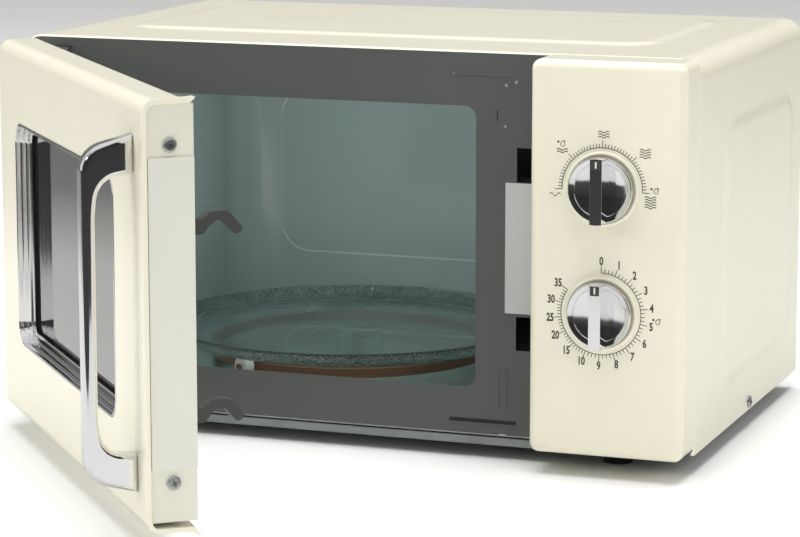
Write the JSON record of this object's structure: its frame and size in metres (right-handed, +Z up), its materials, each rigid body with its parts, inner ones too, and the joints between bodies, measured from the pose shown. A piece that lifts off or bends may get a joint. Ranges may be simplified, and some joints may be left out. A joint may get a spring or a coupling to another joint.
{
  "type": "microwave oven",
  "caption": "Countertop microwave oven with a left-hung door standing open, an upright handle, a glass turntable tray and a panel with round dials.",
  "frame": {"origin": "on the plane under the feet, in the middle of the footprint of the oven with its door standing open as stored", "axes": "+Z up; the front with the door and dials faces -Y; +X to the right when looking at the front"},
  "size_m": [0.4615, 0.5799, 0.2582],
  "materials": {
    "cream_enamel": "gloss",
    "cream_plastic": "gloss",
    "pale_cover_plastic": "satin",
    "pale_frame_paint": "satin",
    "dark_grey_paint": "satin",
    "cavity_grey_paint": "gloss",
    "zinc_sheet": "satin",
    "chrome_plate": "mirror",
    "smoked_glass": "gloss",
    "clear_glass": "gloss",
    "clear_film": "gloss",
    "foot_rubber": "matte",
    "grey_plastic": "satin",
    "pale_label_film": "matte",
    "mica_sheet": "matte",
    "core_steel": "matte",
    "copper_winding": "satin",
    "fin_aluminium": "satin",
    "board_laminate": "satin",
    "white_plastic": "satin",
    "ring_plastic": "satin"
  },
  "bodies": {
    "cabinet": {"base_plate": "zinc_sheet", "capacitor": "zinc_sheet", "capacitor_strap": "zinc_sheet", "casing": "cream_enamel", "casing_screws": "zinc_sheet", "cavity_liner": "cavity_grey_paint", "control_panel": "cream_plastic", "cord_inlet": "foot_rubber", "dial_rings": "cream_plastic", "diode": "grey_plastic", "door_switches": "grey_plastic", "fan_motor": "core_steel", "fan_shroud": "grey_plastic", "feet": "foot_rubber", "filter_board": "board_laminate", "front_plate": "dark_grey_paint", "hinge_bracket_lower": "zinc_sheet", "hinge_bracket_upper": "zinc_sheet", "lamp_bulb": "clear_glass", "lamp_holder": "grey_plastic", "latch_bracket": "grey_plastic", "magnetron_fins": "fin_aluminium", "magnetron_tube": "fin_aluminium", "magnetron_yoke": "zinc_sheet", "mains_fuse": "clear_glass", "plain_label": "pale_label_film", "power_selector": "grey_plastic", "rear_panel": "zinc_sheet", "thermal_cutouts": "fin_aluminium", "timer_bell": "zinc_sheet", "timer_unit": "grey_plastic", "transformer_core": "core_steel", "transformer_windings": "copper_winding", "turntable_motor": "core_steel", "waveguide": "zinc_sheet", "waveguide_cover": "mica_sheet"},
    "door": {"door_shell": "cream_plastic", "door_frame": "pale_frame_paint", "choke_cover": "pale_cover_plastic", "window_screen": "zinc_sheet", "inner_film": "clear_film", "window_glass": "smoked_glass", "window_bezel": "chrome_plate", "door_handle": "chrome_plate", "handle_screws": "zinc_sheet", "door_screws": "zinc_sheet"},
    "latch": {"latch_hooks": "grey_plastic"},
    "power_knob": {"power_knob": "chrome_plate"},
    "timer_knob": {"timer_knob": "chrome_plate"},
    "fan": {"fan_blade": "white_plastic"},
    "coupler": {"coupler": "white_plastic"},
    "tray": {"glass_tray": "clear_glass"},
    "roller_ring": {"roller_ring": "ring_plastic"},
    "roller_1": {"roller_1": "white_plastic"},
    "roller_2": {"roller_2": "white_plastic"},
    "roller_3": {"roller_3": "white_plastic"}
  },
  "joints": [
    {"name": "door_hinge", "type": "hinge", "parent": "cabinet", "child": "door", "pos_m": [-0.216, -0.0076, 0], "axis": [0, 0, -1], "range_deg": [-50.1, 54.9]},
    {"name": "latch_lift", "type": "slide", "parent": "door", "child": "latch", "axis": [0, 0, 1], "range_m": [0, 0.004], "stiffness_N_per_m": 150},
    {"name": "power_turn", "type": "hinge", "parent": "cabinet", "child": "power_knob", "pos_m": [0.1778, -0.0223, 0.1797], "axis": [0, 1, 0], "range_deg": [-92, 92]},
    {"name": "timer_turn", "type": "hinge", "parent": "cabinet", "child": "timer_knob", "pos_m": [0.1778, -0.0223, 0.1034], "axis": [0, 1, 0], "range_deg": [0, 303]},
    {"name": "fan_spin", "type": "hinge", "parent": "cabinet", "child": "fan", "pos_m": [0.1604, 0.2441, 0.15], "axis": [0, 1, 0], "continuous": true},
    {"name": "turntable_spin", "type": "hinge", "parent": "cabinet", "child": "coupler", "pos_m": [-0.0471, 0.1421, 0], "axis": [0, 0, 1], "continuous": true},
    {"name": "tray_lift", "type": "slide", "parent": "coupler", "child": "tray", "axis": [0, 0, 1], "range_m": [0, 0.02]},
    {"name": "ring_spin", "type": "hinge", "parent": "cabinet", "child": "roller_ring", "pos_m": [-0.0471, 0.1421, 0], "axis": [0, 0, 1], "continuous": true},
    {"name": "roller_1_spin", "type": "hinge", "parent": "roller_ring", "child": "roller_1", "pos_m": [0.05235, 0.15255, 0.03765], "axis": [0.9945, 0.1045, 0], "continuous": true},
    {"name": "roller_2_spin", "type": "hinge", "parent": "roller_ring", "child": "roller_2", "pos_m": [-0.10588, 0.223, 0.03765], "axis": [-0.5878, 0.809, 0], "continuous": true},
    {"name": "roller_3_spin", "type": "hinge", "parent": "roller_ring", "child": "roller_3", "pos_m": [-0.08777, 0.05074, 0.03765], "axis": [-0.4067, -0.9135, 0], "continuous": true}
  ],
  "couplings": [
    {"joint": "ring_spin", "follows": "turntable_spin", "ratio": 0.5},
    {"joint": "roller_1_spin", "follows": "turntable_spin", "ratio": -7.3529},
    {"joint": "roller_2_spin", "follows": "turntable_spin", "ratio": -7.3529},
    {"joint": "roller_3_spin", "follows": "turntable_spin", "ratio": -7.3529}
  ]
}
